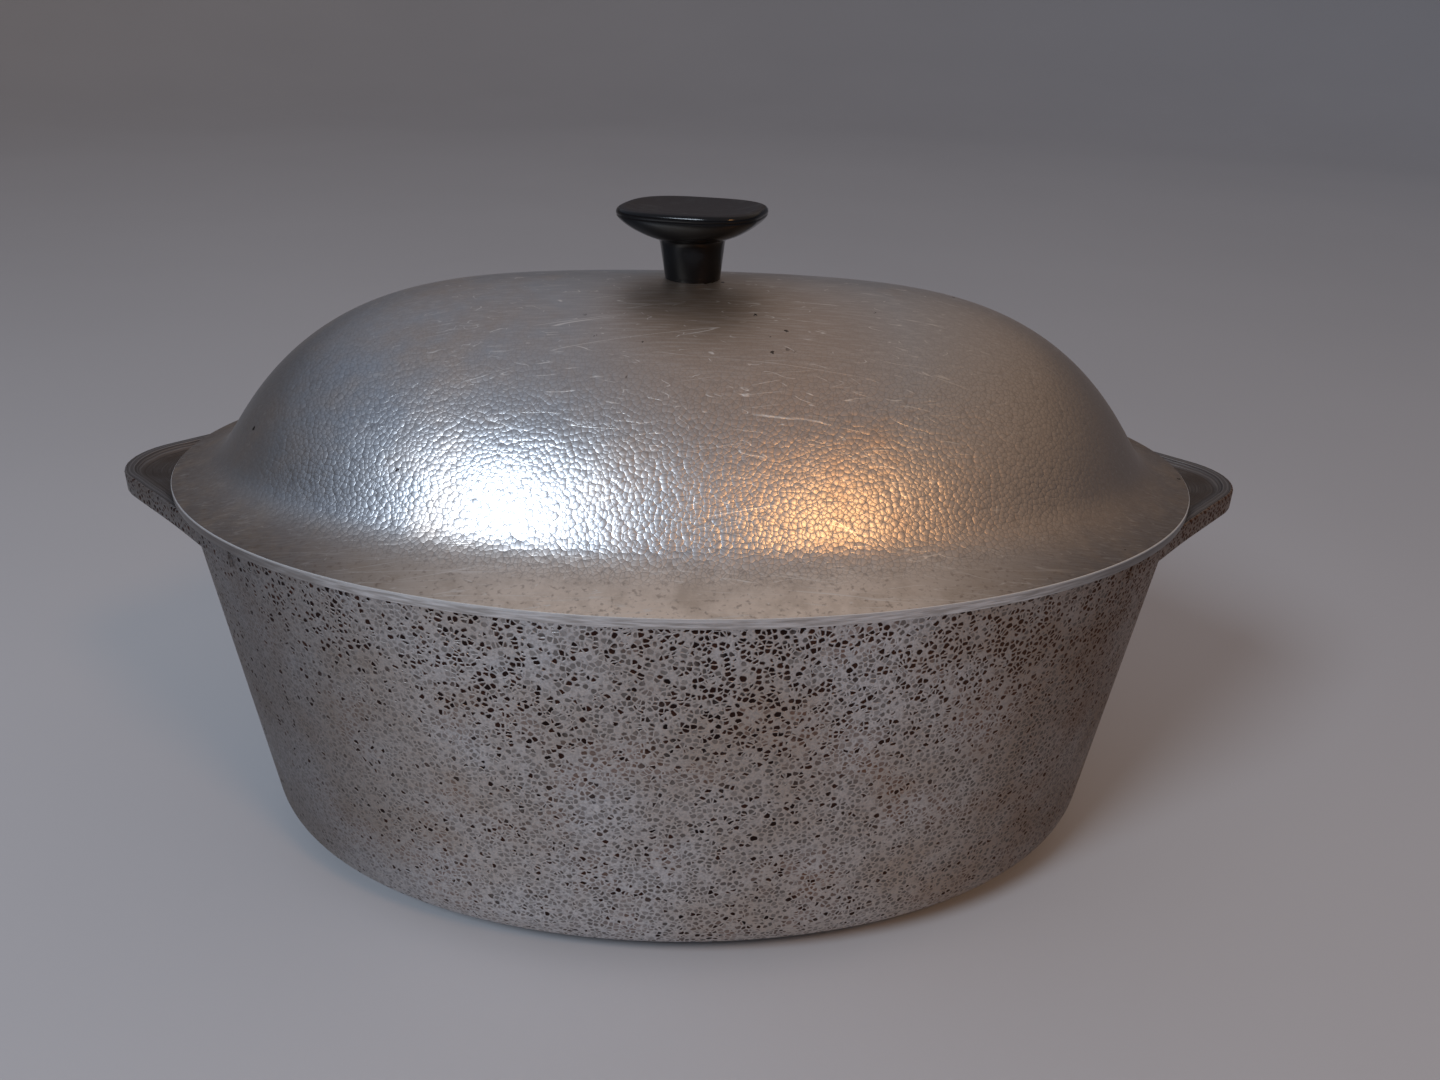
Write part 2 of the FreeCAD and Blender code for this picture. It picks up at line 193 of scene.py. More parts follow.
def lug_edge(share, inset):
    """A place on the right lug's edge in plan, moved in. Share 0 is the nose, 1 and -1 are the roots."""
    side = -1.0 if share < 0.0 else 1.0
    share = abs(share)
    radius = NOSE_RADIUS - inset
    centre = LUG_TIP - NOSE_RADIUS
    nose_end, flank_end = 0.2, 0.464
    angle = FLANK_ANGLE * min(1.0, share / nose_end)
    place = Vector((centre + radius * math.cos(angle), radius * math.sin(angle)))
    along = Vector((-math.sin(FLANK_ANGLE), math.cos(FLANK_ANGLE)))
    place += along * FLANK * ease_linear(share, nose_end, flank_end)
    if share > flank_end:
        part = ease_linear(share, flank_end, 1.0)
        root = Vector(((POT_HALF_LENGTH - inset) * math.cos(ROOT_ANGLE),
                       (POT_HALF_WIDTH - inset) * math.sin(ROOT_ANGLE)))
        run = Vector((POT_HALF_LENGTH * math.sin(ROOT_ANGLE), -POT_HALF_WIDTH * math.cos(ROOT_ANGLE)))
        reach = 0.4 * (root - place).length
        out, back = place + along * reach, root + run.normalized() * reach
        rest = 1.0 - part
        place = (place * rest ** 3 + out * 3.0 * rest * rest * part
                 + back * 3.0 * rest * part * part + root * part ** 3)
    return Vector((place.x, place.y * side))


def draw_lug(mesh, side):
    """Draws one lug out of the wall band. Side is 1 for the right end and -1 for the left."""
    band = []
    for face in mesh.faces:
        levels = {round(vert.co.z, 2) for vert in face.verts}
        if levels != {LUG_BOTTOM, LUG_TOP}:
            continue
        middle = face.calc_center_median()
        angle = math.atan2(middle.y / POT_HALF_WIDTH, side * middle.x / POT_HALF_LENGTH)
        if abs(angle) < ROOT_ANGLE:
            band.append(face)
    wall = {vert for face in band for vert in face.verts}
    for vert in wall:
        angle = math.atan2(vert.co.y / POT_HALF_WIDTH, side * vert.co.x / POT_HALF_LENGTH)
        vert[share_of] = round(angle / ROOT_ANGLE * LUG_COLUMNS) / LUG_COLUMNS
        vert[lift_of] = 1.0 if vert.co.z > 0.5 * (LUG_TOP + LUG_BOTTOM) else 0.0
        vert[reach_of] = 0.0
    made = bmesh.ops.extrude_face_region(mesh, geom=band)["geom"]
    # lug and wall are one casting, so the wall's old faces do not stay inside it
    bmesh.ops.delete(mesh, geom=band, context="FACES")
    outer = {part for part in made if isinstance(part, bmesh.types.BMVert)}
    for vert in outer:
        vert[reach_of] = 1.0
    drawn = [edge for vert in outer for edge in vert.link_edges if edge.other_vert(vert) not in outer]
    bmesh.ops.subdivide_edges(mesh, edges=drawn, cuts=CUTS, use_grid_fill=True)
    tip = {vert for vert in mesh.verts if vert[reach_of] > 0.999 and vert.co.x * side > 0.0}
    upright = []
    for edge in mesh.edges:
        if edge.verts[0] in tip and edge.verts[1] in tip and edge.verts[0][lift_of] != edge.verts[1][lift_of]:
            upright.append(edge)
    bmesh.ops.subdivide_edges(mesh, edges=upright, cuts=EDGE_CUTS, use_grid_fill=True)
    for vert in mesh.verts:
        if vert.co.x * side > 0.0 and (vert[reach_of] > 0.001 or abs(vert[share_of]) > 0.001 or vert in wall):
            shape_lug_vert(vert, side)


def shape_lug_vert(vert, side):
    """Puts one point of a lug in its place, from its share, its row out from the wall and its lift."""
    share, lift = vert[share_of], vert[lift_of]
    row = round(vert[reach_of] * (CUTS + 1))
    angle = share * ROOT_ANGLE
    outline = lug_edge(share, 0.0)

    def wall_at(z, out=0.0):
        """A place on the pot's wall beside the point, moved out."""
        length, width, z = pot_section(0.0, z)
        foot = Vector((length * math.cos(angle), width * math.sin(angle)))
        away = Vector((math.cos(angle) / length, math.sin(angle) / width)).normalized()
        return foot + away * out

    room = (outline - wall_at(LUG_TOP)).length
    full = min(1.0, room / DISH_ROOM)
    depth = DISH_DEPTH * ease(full, 0.25, 1.0)
    dish_z = LUG_TOP - depth
    round_in = EDGE_ROUND * min(1.0, room / 3.0)
    from_edge = room
    if row == CUTS + 1:
        step = round(lift * (EDGE_CUTS + 1))
        inset, below = ((1.0, 0.0), (0.29, 0.29), (0.0, 1.0))[min(step, EDGE_CUTS + 1 - step)]
        place = lug_edge(share, inset * round_in)
        z = LUG_BOTTOM + below * round_in if step < 3 else LUG_TOP - below * round_in
        from_edge = inset * round_in
    elif lift > 0.5:
        foot = lug_edge(share, DISH_FAR * full)
        near = wall_at(dish_z, DISH_NEAR * full)
        if row == 0:
            place, z = wall_at(LUG_TOP), LUG_TOP
        elif row == 1:
            place, z = wall_at(LUG_TOP, 0.5 * full), mix(LUG_TOP, dish_z, 0.7)
        elif row in (2, 3, 4):
            place, z = near.lerp(foot, (row - 2) / 3.0), dish_z
        else:
            inset, part = {5: (DISH_FAR, 0.0), 6: (5.9, 0.22), 7: (3.9, 0.85), 8: (2.8, 1.0)}[row]
            place, z = lug_edge(share, inset * full), mix(dish_z, LUG_TOP, part)
        from_edge = (outline - place).length
    else:
        fillet = LUG_FILLET * full
        if row == 0:
            place, z = wall_at(LUG_BOTTOM - fillet), LUG_BOTTOM - fillet
        else:
            out, drop = {1: (0.26, 0.34), 2: (0.9, 0.0)}.get(row, (0.9, 0.0))
            near = wall_at(LUG_BOTTOM, fillet * out)
            part = max(0.0, (row - 2) / (CUTS - 1.0))
            place, z = near.lerp(lug_edge(share, round_in), part), LUG_BOTTOM - fillet * drop
    vert[edge_of] = from_edge * MM
    vert.co = Vector((place.x * side, place.y, z))


draw_lug(pot_mesh, 1.0)
draw_lug(pot_mesh, -1.0)
for face in pot_mesh.faces:
    if all(vert[reach_of] > 0.001 and vert[lift_of] > 0.99 for vert in face.verts if vert[reach_of] > 0.001):
        if any(vert[reach_of] > 0.001 for vert in face.verts) and face.calc_center_median().z > LUG_TOP - 3.0:
            face.material_index = GROUND


def linear(sheet):
    """The linear colour that a shader takes, from an sRGB hex value."""
    parts = [int(sheet[i:i + 2], 16) / 255.0 for i in (1, 3, 5)]
    return tuple(c / 12.92 if c <= 0.04045 else ((c + 0.055) / 1.055) ** 2.4 for c in parts) + (1.0,)


def new_finish(name):
    """An empty material and its node tree."""
    material = bpy.data.materials.new(name)
    material.use_nodes = True
    material.node_tree.nodes.clear()
    return material, material.node_tree


def add(tree, kind, inputs=None, **settings):
    """Adds one shader node: its settings, then its inputs as values or as links."""
    made = tree.nodes.new("ShaderNode" + kind)
    for name, value in settings.items():
        setattr(made, name, value)
    for socket, value in (inputs or {}).items():
        if isinstance(value, bpy.types.NodeSocket):
            tree.links.new(value, made.inputs[socket])
        else:
            made.inputs[socket].default_value = value
    return made


# Sand-cast aluminium with its pebbled mould skin after years on a stove: satin grey, a net of ridges that
# scouring keeps pale, and small hollows between them that hold brown dirt or baked soot, thickest under the
# rim. The grain of the casting is too fine to show and is drawn about three times as coarse.
pot_cast, tree = new_finish("cast_aluminium_pebbled")
place = add(tree, "TexCoord").outputs["Object"]
wander = add(tree, "TexNoise", {"Vector": place, "Scale": 1 / (3 * MM), "Detail": 2.0})
shift = add(tree, "VectorMath", {0: wander.outputs["Color"], 1: (0.5, 0.5, 0.5)}, operation="SUBTRACT")
shift = add(tree, "VectorMath", {0: shift.outputs[0], "Scale": 1.5 * MM}, operation="SCALE")
skin = add(tree, "VectorMath", {0: place, 1: shift.outputs[0]}, operation="ADD").outputs[0]
PEBBLE = 1.9 * MM
cell = add(tree, "TexVoronoi", {"Vector": skin, "Scale": 1 / PEBBLE})
net = add(tree, "TexVoronoi", {"Vector": skin, "Scale": 1 / PEBBLE}, feature="DISTANCE_TO_EDGE")
chance = add(tree, "SeparateColor", {0: cell.outputs["Color"]})
spot = add(tree, "SeparateXYZ", {0: place})
patch = add(tree, "TexNoise", {"Vector": place, "Scale": 1 / (42 * MM), "Detail": 4.0, "Roughness": 0.62})
patch = add(tree, "MapRange", {0: patch.outputs[0], 1: 0.38, 2: 0.62}).outputs[0]
under_rim = add(tree, "MapRange", {0: spot.outputs["Z"], 1: 80 * MM, 2: 134 * MM},
                interpolation_type="SMOOTHSTEP").outputs[0]
low_edge = add(tree, "MapRange", {0: spot.outputs["Z"], 1: 20 * MM, 2: 3 * MM},
               interpolation_type="SMOOTHSTEP").outputs[0]
# the left end is the cleaner one
lean = add(tree, "MapRange", {0: spot.outputs["X"], 1: -140 * MM, 2: -20 * MM, 3: 0.62, 4: 1.0},
           interpolation_type="SMOOTHSTEP").outputs[0]
# the right end has smaller and fewer black pits with browner grime, and a painted warm reflection
right = add(tree, "MapRange", {0: spot.outputs["X"], 1: 10 * MM, 2: 120 * MM},
            interpolation_type="SMOOTHSTEP").outputs[0]
fewer = add(tree, "MapRange", {0: right, 3: 1.0, 4: 0.82}).outputs[0]
reach = add(tree, "Math", {0: spot.outputs["X"]}, operation="ABSOLUTE").outputs[0]
lug_side = add(tree, "MapRange", {0: reach, 1: 158 * MM, 2: 176 * MM}).outputs[0]
# soot: in patches under the rim, and more of it below the lugs and round the lower corner
soot = add(tree, "MapRange", {0: patch, 3: 0.30, 4: 0.95}).outputs[0]
soot = add(tree, "Math", {0: soot, 1: under_rim}, operation="MULTIPLY").outputs[0]
soot = add(tree, "Math", {0: soot, 1: lean}, operation="MULTIPLY").outputs[0]
soot = add(tree, "Math", {0: soot, 1: fewer}, operation="MULTIPLY").outputs[0]
soot = add(tree, "Math", {0: soot, 1: 0.92, 2: 0.06}, operation="MULTIPLY_ADD").outputs[0]
soot = add(tree, "Math", {0: lug_side, 1: 0.35, 2: soot}, operation="MULTIPLY_ADD").outputs[0]
soot = add(tree, "Math", {0: low_edge, 1: 0.45, 2: soot}, operation="MULTIPLY_ADD").outputs[0]
soot = add(tree, "Math", {0: patch, 1: 0.20, 2: soot}, operation="MULTIPLY_ADD").outputs[0]
# how black each pit is: each pebble cell has its own chance, and takes soot where there is more than that
black = add(tree, "Math", {0: soot, 1: chance.outputs[0]}, operation="SUBTRACT").outputs[0]
black = add(tree, "MapRange", {0: black, 1: -0.06, 2: 0.10}).outputs[0]
# a hollow fills its cell up to the net, with rounded corners, and a black pit is a smaller one
rounded = add(tree, "MapRange", {0: cell.outputs["Distance"], 1: 0.64, 2: 0.44},
              interpolation_type="SMOOTHSTEP").outputs[0]
narrow = add(tree, "MapRange", {0: chance.outputs[1], 3: 0.05, 4: 0.11}).outputs[0]
fill = add(tree, "Math", {0: net.outputs["Distance"], 1: narrow}, operation="SUBTRACT").outputs[0]
fill = add(tree, "MapRange", {0: fill, 1: 0.0, 2: 0.08}, interpolation_type="SMOOTHSTEP").outputs[0]
fill = add(tree, "Math", {0: fill, 1: rounded}, operation="MULTIPLY").outputs[0]
clean = add(tree, "MapRange", {0: lean, 1: 0.62, 2: 1.0, 3: 0.13, 4: 0.05}).outputs[0]
narrow = add(tree, "Math", {0: chance.outputs[2], 1: 0.09, 2: clean}, operation="MULTIPLY_ADD").outputs[0]
narrow = add(tree, "Math", {0: right, 1: 0.03, 2: narrow}, operation="MULTIPLY_ADD").outputs[0]
pit = add(tree, "Math", {0: net.outputs["Distance"], 1: narrow}, operation="SUBTRACT").outputs[0]
pit = add(tree, "MapRange", {0: pit, 1: 0.0, 2: 0.07}, interpolation_type="SMOOTHSTEP").outputs[0]
pit = add(tree, "Math", {0: pit, 1: rounded}, operation="MULTIPLY").outputs[0]
pit = add(tree, "Math", {0: pit, 1: black}, operation="MULTIPLY").outputs[0]
ridge = add(tree, "MapRange", {0: net.outputs["Distance"], 1: 0.16, 2: 0.02},
            interpolation_type="SMOOTHSTEP").outputs[0]
film = add(tree, "TexNoise", {"Vector": place, "Scale": 1 / (70 * MM), "Detail": 4.0, "Roughness": 0.65})
film = add(tree, "MapRange", {0: film.outputs[0], 1: 0.42, 2: 0.66}).outputs[0]
metal = add(tree, "Mix", {0: chance.outputs[2], 6: linear("#d0cfd1"), 7: linear("#dcdada")},
            data_type="RGBA").outputs[2]
metal = add(tree, "Mix", {0: film, 6: metal, 7: linear("#c0b4aa")}, data_type="RGBA").outputs[2]
# a painted warm reflection towards the right end, in patches
painted_warm_side = add(tree, "MapRange", {0: spot.outputs["X"], 1: -10 * MM, 2: 130 * MM, 4: 0.8},
              interpolation_type="SMOOTHSTEP").outputs[0]
painted_warm_side = add(tree, "Math", {0: painted_warm_side, 1: patch}, operation="MULTIPLY").outputs[0]
metal = add(tree, "Mix", {0: painted_warm_side, 6: metal, 7: linear("#b09a86")}, data_type="RGBA").outputs[2]
net_shows = add(tree, "MapRange", {0: lean, 1: 0.62, 2: 1.0, 3: 0.5, 4: 0.95}).outputs[0]
hollow = add(tree, "MapRange", {0: chance.outputs[1], 3: 0.45, 4: 1.0}).outputs[0]
hollow = add(tree, "Math", {0: hollow, 1: fill}, operation="MULTIPLY").outputs[0]
hollow = add(tree, "Math", {0: hollow, 1: net_shows}, operation="MULTIPLY").outputs[0]
grain = add(tree, "TexNoise", {"Vector": place, "Scale": 1 / (0.9 * MM), "Detail": 2.0}).outputs[0]
speckle = add(tree, "MapRange", {0: grain, 1: 0.42, 2: 0.64, 4: 0.45}).outputs[0]
metal = add(tree, "Mix", {0: speckle, 6: metal, 7: linear("#9b9898")}, data_type="RGBA").outputs[2]
rust = add(tree, "TexNoise", {"Vector": place, "Scale": 1 / (26 * MM), "Detail": 3.0}).outputs[0]
rust = add(tree, "MapRange", {0: rust, 1: 0.50, 2: 0.66}).outputs[0]
dirt = add(tree, "Mix", {0: rust, 6: linear("#6b6561"), 7: linear("#76533f")}, data_type="RGBA").outputs[2]
metal = add(tree, "Mix", {0: hollow, 6: metal, 7: dirt}, data_type="RGBA").outputs[2]
# both ends are darker: painted shade, grey at the left end and warm at the right
ends = add(tree, "MapRange", {0: reach, 1: 60 * MM, 2: 160 * MM, 4: 0.85},
           interpolation_type="SMOOTHSTEP").outputs[0]
painted_end_shade = add(tree, "Mix", {0: right, 6: linear("#858180"), 7: linear("#988474")}, data_type="RGBA").outputs[2]
metal = add(tree, "Mix", {0: ends, 6: metal, 7: painted_end_shade}, data_type="RGBA", blend_type="MULTIPLY").outputs[2]
grime = add(tree, "Mix", {0: chance.outputs[2], 6: linear("#2a2120"), 7: linear("#4c332b")},
            data_type="RGBA").outputs[2]
browner = add(tree, "Math", {0: right, 1: 0.55}, operation="MULTIPLY").outputs[0]
grime = add(tree, "Mix", {0: browner, 6: grime, 7: linear("#5c4030")}, data_type="RGBA").outputs[2]
metal = add(tree, "Mix", {0: pit, 6: metal, 7: grime}, data_type="RGBA").outputs[2]
dull = add(tree, "MapRange", {0: film, 3: 0.46, 4: 0.54}).outputs[0]
dull = add(tree, "Math", {0: pit, 1: 0.3, 2: dull}, operation="MULTIPLY_ADD").outputs[0]
# heights in millimetres
height = add(tree, "Math", {0: ridge, 1: 0.05}, operation="MULTIPLY").outputs[0]
height = add(tree, "Math", {0: fill, 1: -0.05, 2: height}, operation="MULTIPLY_ADD").outputs[0]
height = add(tree, "Math", {0: pit, 1: -0.15, 2: height}, operation="MULTIPLY_ADD").outputs[0]
height = add(tree, "Math", {0: grain, 1: 0.05, 2: height}, operation="MULTIPLY_ADD").outputs[0]
relief = add(tree, "Bump", {"Strength": 1.0, "Distance": MM, "Height": height}).outputs[0]
shader = add(tree, "BsdfPrincipled", {"Base Color": metal, "Metallic": 1.0, "Roughness": dull,
                                      "Normal": relief})
add(tree, "OutputMaterial", {"Surface": shader.outputs[0]})

# The lugs' tops are ground with a coarse disc that followed their edges, so the scratches run round them,
# and the dish has gone brown. The scratches are drawn about twice as coarse, or they would not show.
lug_ground, tree = new_finish("ground_aluminium_lug")
place = add(tree, "TexCoord").outputs["Object"]
from_edge = add(tree, "Attribute", attribute_name="from_edge").outputs["Fac"]
wander = add(tree, "TexNoise", {"Vector": place, "Scale": 1 / (14 * MM), "Detail": 2.0})
track = add(tree, "Math", {0: wander.outputs[0], 1: 1.2 * MM, 2: from_edge}, operation="MULTIPLY_ADD")
track = add(tree, "CombineXYZ", {0: track.outputs[0]})
lines = add(tree, "TexNoise", {"Vector": track.outputs[0], "Scale": 1 / (0.7 * MM), "Detail": 3.0})
lines = add(tree, "MapRange", {0: lines.outputs[0], 1: 0.42, 2: 0.58}).outputs[0]
hollow = add(tree, "MapRange", {0: from_edge, 1: 3 * MM, 2: 8 * MM},
             interpolation_type="SMOOTHSTEP").outputs[0]
stain = add(tree, "TexNoise", {"Vector": place, "Scale": 1 / (12 * MM), "Detail": 4.0})
stain = add(tree, "MapRange", {0: stain.outputs[0], 1: 0.3, 2: 0.6, 3: 0.55, 4: 1.0}).outputs[0]
stain = add(tree, "Math", {0: stain, 1: hollow}, operation="MULTIPLY").outputs[0]
metal = add(tree, "Mix", {0: lines, 6: linear("#555150"), 7: linear("#8f8c8c")}, data_type="RGBA").outputs[2]
metal = add(tree, "Mix", {0: stain, 6: metal, 7: linear("#59504a")}, data_type="RGBA").outputs[2]
relief = add(tree, "Bump", {"Strength": 1.0, "Distance": 0.14 * MM, "Height": lines}).outputs[0]
shader = add(tree, "BsdfPrincipled", {"Base Color": metal, "Metallic": 1.0, "Roughness": 0.42,
                                      "Normal": relief})
add(tree, "OutputMaterial", {"Surface": shader.outputs[0]})

# The inside is the same metal, ground smooth and dulled by cooking: cloudy grey with tan stains.
pot_inside, tree = new_finish("cast_aluminium_inside")
place = add(tree, "TexCoord").outputs["Object"]
stain = add(tree, "TexNoise", {"Vector": place, "Scale": 1 / (40 * MM), "Detail": 6.0, "Roughness": 0.62})
stain = add(tree, "MapRange", {0: stain.outputs[0], 1: 0.42, 2: 0.68}).outputs[0]
metal = add(tree, "Mix", {0: stain, 6: linear("#b4b1ad"), 7: linear("#8d8172")}, data_type="RGBA").outputs[2]
dull = add(tree, "MapRange", {0: stain, 3: 0.30, 4: 0.46}).outputs[0]
grain = add(tree, "TexNoise", {"Vector": place, "Scale": 1 / (1.2 * MM), "Detail": 3.0})
relief = add(tree, "Bump", {"Strength": 0.6, "Distance": 0.05 * MM, "Height": grain.outputs[0]}).outputs[0]
shader = add(tree, "BsdfPrincipled", {"Base Color": metal, "Metallic": 1.0, "Roughness": dull,
                                      "Normal": relief})
add(tree, "OutputMaterial", {"Surface": shader.outputs[0]})

# The rim is turned bright so that the lid seats all the way round.
pot_rim, tree = new_finish("turned_aluminium_rim")
place = add(tree, "TexCoord").outputs["Object"]
wear = add(tree, "TexNoise", {"Vector": place, "Scale": 1 / (9 * MM), "Detail": 4.0})
metal = add(tree, "Mix", {0: wear.outputs[0], 6: linear("#bdbbb8"), 7: linear("#98938c")},
            data_type="RGBA").outputs[2]
shader = add(tree, "BsdfPrincipled", {"Base Color": metal, "Metallic": 1.0, "Roughness": 0.28})
add(tree, "OutputMaterial", {"Surface": shader.outputs[0]})

pot = finish_piece(pot_mesh, "pot_casting", [pot_cast, pot_inside, pot_rim, lug_ground])
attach(pot, "pot")
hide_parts("pot_body")


# ---------------------------------------------------------------- lid
# A second casting in aluminium with an even wall: an upright edge band, a coved flange, a long domed crown,
# and a rib below that drops inside the pot's mouth. Its skin is pebbled, and worn smooth on the crown, the
# flange and both ends.

LID_HALF_LENGTH = 183.3
LID_HALF_WIDTH = 121.4
BAND_TOP = 149.9
LID_WALL = 4.2
CROWN_Z = 217.3
SEAT_RADIUS = 10.4
DOME_ROOT_Z = 47.0             # the dome's curve would be upright here, far below its foot
DOME_HALF_LENGTH = 190.1
DOME_HALF_WIDTH = 128.0
DOME_FULLNESS = 3.84           # of the curve along the lid; 2 is an ellipse
COVE = 3.0
RIB_GAP = 1.8
RIB_WALL = 2.6
RIB_DEPTH = 4.0


def dome_section(z, inset=0.0):
    """A section of the dome: a long flat curve along the lid and a round one across it."""
    rise = (z - DOME_ROOT_Z) / (CROWN_Z - inset - DOME_ROOT_Z)
    left = max(0.0, 1.0 - rise * rise)
    length = (DOME_HALF_LENGTH - inset) * left ** (1.0 / DOME_FULLNESS)
    return length, (DOME_HALF_WIDTH - inset) * left ** 0.5, z


def flange_section(z):
    """The dome's outside with the cove that runs out into the flange."""
    length, width, z = dome_section(z)
    foot = dome_section(BAND_TOP)
    cove = math.exp(-(z - BAND_TOP) / COVE)
    return length + (LID_HALF_LENGTH - foot[0]) * cove, width + (LID_HALF_WIDTH - foot[1]) * cove, z


def dome_heights(low, high, count):
    """Heights that crowd towards the crown, where the dome lies flat."""
    return [high - (high - low) * (1.0 - step / count) ** 2.2 for step in range(count)]


lid_mesh = bmesh.new()
LID_OUT, LID_IN, LID_EDGE = 0, 1, 2      # the lid's finishes
inner_heights = list(reversed(dome_heights(RIM_Z, CROWN_Z - LID_WALL, 34)))
ring = first_section(lid_mesh, dome_section(inner_heights[0], LID_WALL))
close_section(lid_mesh, ring, LID_IN)
for face in lid_mesh.faces:
    face.material_index = LID_IN
for z in inner_heights[1:]:
    ring = next_section(lid_mesh, ring, dome_section(z, LID_WALL), LID_IN)
rib_out = WALL + RIB_GAP
rib_in = rib_out + RIB_WALL
rib_z = RIM_Z - RIB_DEPTH
for inward, z in ((rib_in, RIM_Z), (rib_in, rib_z + 0.4), (rib_in - 0.4, rib_z),
                  (rib_out + 0.4, rib_z), (rib_out, rib_z + 0.4), (rib_out, RIM_Z)):
    ring = next_section(lid_mesh, ring, (POT_HALF_LENGTH - inward, POT_HALF_WIDTH - inward, z), LID_IN)
for inward, z in ((0.5, RIM_Z), (0.12, RIM_Z + 0.12), (0.0, RIM_Z + 0.5), (0.0, BAND_TOP - 0.5),
                  (0.12, BAND_TOP - 0.12), (0.5, BAND_TOP)):
    ring = next_section(lid_mesh, ring, (LID_HALF_LENGTH - inward, LID_HALF_WIDTH - inward, z), LID_EDGE)
for rise in (0.06, 0.2, 0.45, 0.8, 1.3, 2.0, 2.9, 4.0, 5.3, 6.8, 8.5, 10.3):
    ring = next_section(lid_mesh, ring, flange_section(BAND_TOP + rise), LID_OUT)
for z in dome_heights(162.0, CROWN_Z, 44):
    ring = next_section(lid_mesh, ring, flange_section(z), LID_OUT)
close_section(lid_mesh, ring, LID_OUT)
# the flat ground that the knob stands on
for vert in lid_mesh.verts:
    if vert.co.z > CROWN_Z - 1.0 and math.hypot(vert.co.x, vert.co.y) < SEAT_RADIUS:
        vert.co.z = CROWN_Z

# The dome's skin: rounded pebbles packed edge to edge, brighter than the pot because it is handled and
# washed. It is scratched, with a tan film of old grease in front of the knob, painted warm light towards
# the right and painted shade towards both ends. The flange is mottled with grime, with a painted highlight
# along its middle and painted shade towards its ends. The wiping lines and the casting's grain are drawn
# several times as coarse as the real ones, which are too fine to show.
lid_cast, tree = new_finish("cast_aluminium_dome")
place = add(tree, "TexCoord").outputs["Object"]
wander = add(tree, "TexNoise", {"Vector": place, "Scale": 1 / (4 * MM), "Detail": 2.0})
shift = add(tree, "VectorMath", {0: wander.outputs["Color"], 1: (0.5, 0.5, 0.5)}, operation="SUBTRACT")
shift = add(tree, "VectorMath", {0: shift.outputs[0], "Scale": 1.1 * MM}, operation="SCALE")
skin = add(tree, "VectorMath", {0: place, 1: shift.outputs[0]}, operation="ADD").outputs[0]
LID_PEBBLE = 1.6 * MM
pebble = add(tree, "TexVoronoi", {"Vector": skin, "Scale": 1 / LID_PEBBLE})
seam = add(tree, "TexVoronoi", {"Vector": skin, "Scale": 1 / LID_PEBBLE}, feature="DISTANCE_TO_EDGE")
seam = add(tree, "MapRange", {0: seam.outputs["Distance"], 1: 0.12, 2: 0.0},
           interpolation_type="SMOOTHSTEP").outputs[0]
spot = add(tree, "SeparateXYZ", {0: place})
# the pebbles fade out on the flange, towards the crown's middle and at both ends
foot = add(tree, "MapRange", {0: spot.outputs["Z"], 1: 151.5 * MM, 2: 155 * MM},
           interpolation_type="SMOOTHSTEP").outputs[0]
crown = add(tree, "MapRange", {0: spot.outputs["Z"], 1: 214 * MM, 2: 186 * MM, 3: 0.15, 4: 1.0},
            interpolation_type="SMOOTHSTEP").outputs[0]
cover = add(tree, "Math", {0: foot, 1: crown}, operation="MULTIPLY").outputs[0]
away = add(tree, "Math", {0: spot.outputs["X"]}, operation="ABSOLUTE").outputs[0]
ends = add(tree, "MapRange", {0: away, 1: 105 * MM, 2: 158 * MM}, interpolation_type="SMOOTHSTEP").outputs[0]
worn = add(tree, "MapRange", {0: ends, 3: 1.0, 4: 0.22}).outputs[0]
cover = add(tree, "Math", {0: cover, 1: worn}, operation="MULTIPLY").outputs[0]
# heights in millimetres: each pebble is crowned, with a sunk seam round it, on a slightly uneven casting
swell = add(tree, "Math", {0: pebble.outputs["Distance"], 1: pebble.outputs["Distance"]},
            operation="MULTIPLY").outputs[0]
swell = add(tree, "Math", {0: swell, 1: -0.11}, operation="MULTIPLY").outputs[0]
swell = add(tree, "Math", {0: seam, 1: -0.010, 2: swell}, operation="MULTIPLY_ADD").outputs[0]
swell = add(tree, "Math", {0: swell, 1: cover}, operation="MULTIPLY").outputs[0]
roll = add(tree, "TexNoise", {"Vector": place, "Scale": 1 / (22 * MM), "Detail": 1.0})
height = add(tree, "Math", {0: roll.outputs[0], 1: 0.4, 2: swell}, operation="MULTIPLY_ADD").outputs[0]
grain = add(tree, "TexNoise", {"Vector": place, "Scale": 1 / (0.8 * MM), "Detail": 2.0})
height = add(tree, "Math", {0: grain.outputs[0], 1: 0.014, 2: height}, operation="MULTIPLY_ADD").outputs[0]

film = add(tree, "TexNoise", {"Vector": place, "Scale": 1 / (55 * MM), "Detail": 5.0, "Roughness": 0.65})
film = add(tree, "MapRange", {0: film.outputs[0], 1: 0.44, 2: 0.68, 4: 0.8}).outputs[0]
grease = add(tree, "VectorMath", {0: place, 1: (18 * MM, -42 * MM, 212 * MM)}, operation="DISTANCE")
grease = add(tree, "MapRange", {0: grease.outputs["Value"], 1: 75 * MM, 2: 20 * MM, 4: 0.9},
             interpolation_type="SMOOTHSTEP").outputs[0]
flange_film = add(tree, "MapRange", {0: spot.outputs["Z"], 1: 150.2 * MM, 2: 159 * MM, 3: 0.9, 4: 0.0})
flange_film = flange_film.outputs[0]
film = add(tree, "Math", {0: film, 1: flange_film}, operation="MAXIMUM").outputs[0]
film = add(tree, "Math", {0: film, 1: grease}, operation="MAXIMUM").outputs[0]
# a painted warm light towards the right end, carried in the film from here on
painted_warm_side = add(tree, "MapRange", {0: spot.outputs["X"], 1: 30 * MM, 2: 130 * MM, 4: 0.75},
              interpolation_type="SMOOTHSTEP").outputs[0]
film = add(tree, "Math", {0: film, 1: painted_warm_side}, operation="MAXIMUM").outputs[0]
metal = add(tree, "Mix", {0: film, 6: linear("#a5a7ab"), 7: linear("#a6978b")}, data_type="RGBA").outputs[2]
